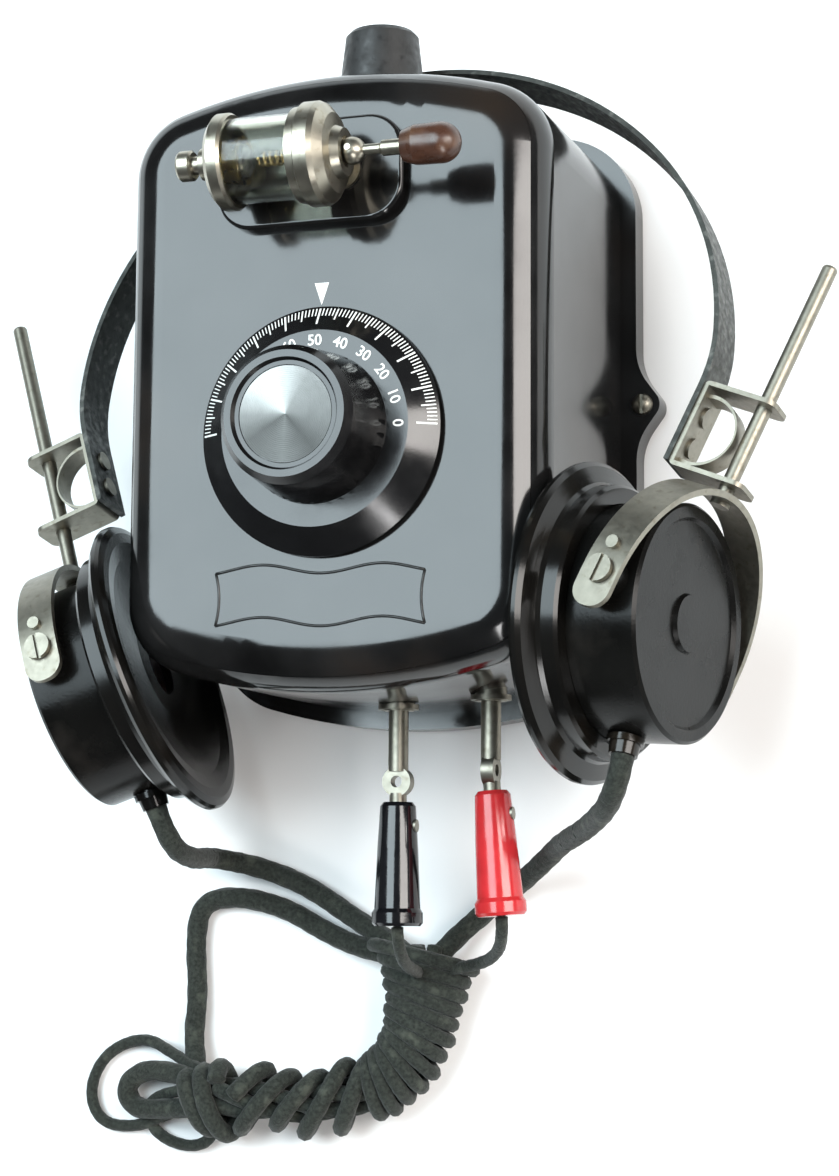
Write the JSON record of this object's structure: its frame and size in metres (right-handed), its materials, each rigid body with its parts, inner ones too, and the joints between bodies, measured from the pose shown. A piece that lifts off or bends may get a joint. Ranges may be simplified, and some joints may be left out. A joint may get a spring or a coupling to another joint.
{
  "type": "radio headphones",
  "caption": "Crystal radio set in an arched moulded case with a dial and glass detector, wired to head telephones on a sprung band.",
  "frame": {"origin": "middle of the back cover's rear face, on the surface that the set lies on", "axes": "+Z out of the set's front face, +Y towards the end with the aerial plug, +X to the right of the dial"},
  "size_m": [0.1819, 0.2272, 0.0877],
  "materials": {
    "case_plastic": "polished black moulding",
    "dial_plastic": "polished black moulding",
    "receiver_plastic": "polished black moulding",
    "plug_black": "glossy black",
    "plug_red": "glossy red",
    "aerial_cap": "matt black",
    "handle_plastic": "dark brown",
    "aged_nickel": "aged nickel plate",
    "detector_nickel": "warm aged nickel",
    "spun_disc": "spun metal",
    "glass": "clear",
    "crystal": "rough mineral with bright facets",
    "whisker_wire": "bare wire",
    "band_metal": "dark matt",
    "shaft_metal": "turned",
    "vane_metal": "bare sheet",
    "coil_card": "waxed card",
    "coil_wire": "cotton covered wire",
    "iron": "blued",
    "braid": "braided cotton, matt"
  },
  "bodies": {
    "case": {"case_shell": "case_plastic", "back_cover": "case_plastic", "case_screws": "aged_nickel", "detector_sockets": "aged_nickel", "panel_sockets": "aged_nickel", "socket_nuts": "aged_nickel", "tuning_bush": "shaft_metal", "condenser_frame": "vane_metal", "coil_former": "coil_card", "coil_winding": "coil_wire", "headband": "band_metal", "rod_clips": "aged_nickel", "clip_rivets": "aged_nickel", "leaf_springs": "aged_nickel", "plug_pins": "aged_nickel", "plug_body_black": "plug_black", "plug_body_red": "plug_red", "plug_screws": "aged_nickel", "plug_leads": "braid", "cord_left": "braid", "cord_right": "braid", "cord_bundle": "braid", "cord_loops": "braid"},
    "tuner": {"tuning_knob": "dial_plastic", "knob_disc": "spun_disc", "tuning_shaft": "shaft_metal", "condenser_rotor": "vane_metal"},
    "aerial_plug": {"aerial_plug_cap": "aerial_cap", "aerial_plug_pin": "aged_nickel"},
    "detector": {"detector_cap_left": "detector_nickel", "detector_cap_right": "detector_nickel", "detector_glass": "glass", "detector_pins": "detector_nickel"},
    "crystal_holder": {"crystal_screw": "detector_nickel", "crystal_cup": "detector_nickel", "crystal": "crystal"},
    "whisker_swivel": {"swivel_ball": "aged_nickel"},
    "whisker_arm": {"whisker_rod": "aged_nickel", "whisker_handle": "handle_plastic", "cat_whisker": "whisker_wire"},
    "rod_left": {"rod_left": "aged_nickel"},
    "fork_left": {"fork_left": "aged_nickel"},
    "receiver_left": {"receiver_shell_left": "receiver_plastic", "ear_cap_left": "receiver_plastic", "diaphragm_left": "iron", "receiver_magnet_left": "iron", "receiver_coils_left": "coil_wire", "pivot_screws_left": "aged_nickel", "cord_gland_left": "receiver_plastic", "cord_left_exit": "braid"},
    "rod_right": {"rod_right": "aged_nickel"},
    "fork_right": {"fork_right": "aged_nickel"},
    "receiver_right": {"receiver_shell_right": "receiver_plastic", "ear_cap_right": "receiver_plastic", "diaphragm_right": "iron", "receiver_magnet_right": "iron", "receiver_coils_right": "coil_wire", "pivot_screws_right": "aged_nickel", "cord_gland_right": "receiver_plastic", "cord_right_exit": "braid"}
  },
  "joints": [
    {"name": "tuning_turn", "type": "hinge", "parent": "case", "child": "tuner", "pos_m": [0, -0.0115, 0.064], "axis": [0, 0, 1], "range_deg": [-90, 90]},
    {"name": "aerial_plug_pull", "type": "slide", "parent": "case", "child": "aerial_plug", "axis": [0, 1, 0], "range_m": [0, 0.016]},
    {"name": "detector_pull", "type": "slide", "parent": "case", "child": "detector", "axis": [0, 0, 1], "range_m": [0, 0.016]},
    {"name": "crystal_turn", "type": "hinge", "parent": "detector", "child": "crystal_holder", "pos_m": [-0.016, 0.038, 0.078], "axis": [1, 0, 0], "continuous": true},
    {"name": "whisker_swing", "type": "hinge", "parent": "detector", "child": "whisker_swivel", "pos_m": [0.0106, 0.038, 0.078], "axis": [0, 0, 1], "range_deg": [-8, 8]},
    {"name": "whisker_slide", "type": "slide", "parent": "whisker_swivel", "child": "whisker_arm", "axis": [1, 0, 0], "range_m": [-0.001, 0.006]},
    {"name": "rod_slide_left", "type": "slide", "parent": "case", "child": "rod_left", "axis": [-0.3501, 0.9035, -0.2473], "range_m": [-0.006, 0.006]},
    {"name": "fork_swivel_left", "type": "hinge", "parent": "rod_left", "child": "fork_left", "pos_m": [-0.05656, -0.05745, 0.04065], "axis": [-0.3501, 0.9035, -0.2473], "range_deg": [-2, 1]},
    {"name": "receiver_tilt_left", "type": "hinge", "parent": "fork_left", "child": "receiver_left", "pos_m": [-0.05656, -0.05745, 0.04065], "axis": [-0.0202, 0.2567, 0.9663], "range_deg": [-5, 3]},
    {"name": "rod_slide_right", "type": "slide", "parent": "case", "child": "rod_right", "axis": [0.3922, 0.9035, -0.1731], "range_m": [-0.002, 0.001]},
    {"name": "fork_swivel_right", "type": "hinge", "parent": "rod_right", "child": "fork_right", "pos_m": [0.06196, -0.04806, 0.05029], "axis": [0.3922, 0.9035, -0.1731], "range_deg": [-2, 10]},
    {"name": "receiver_tilt_right", "type": "hinge", "parent": "fork_right", "child": "receiver_right", "pos_m": [0.06196, -0.04806, 0.05029], "axis": [0.2014, -0.2679, -0.9422], "range_deg": [-2, 12]}
  ]
}
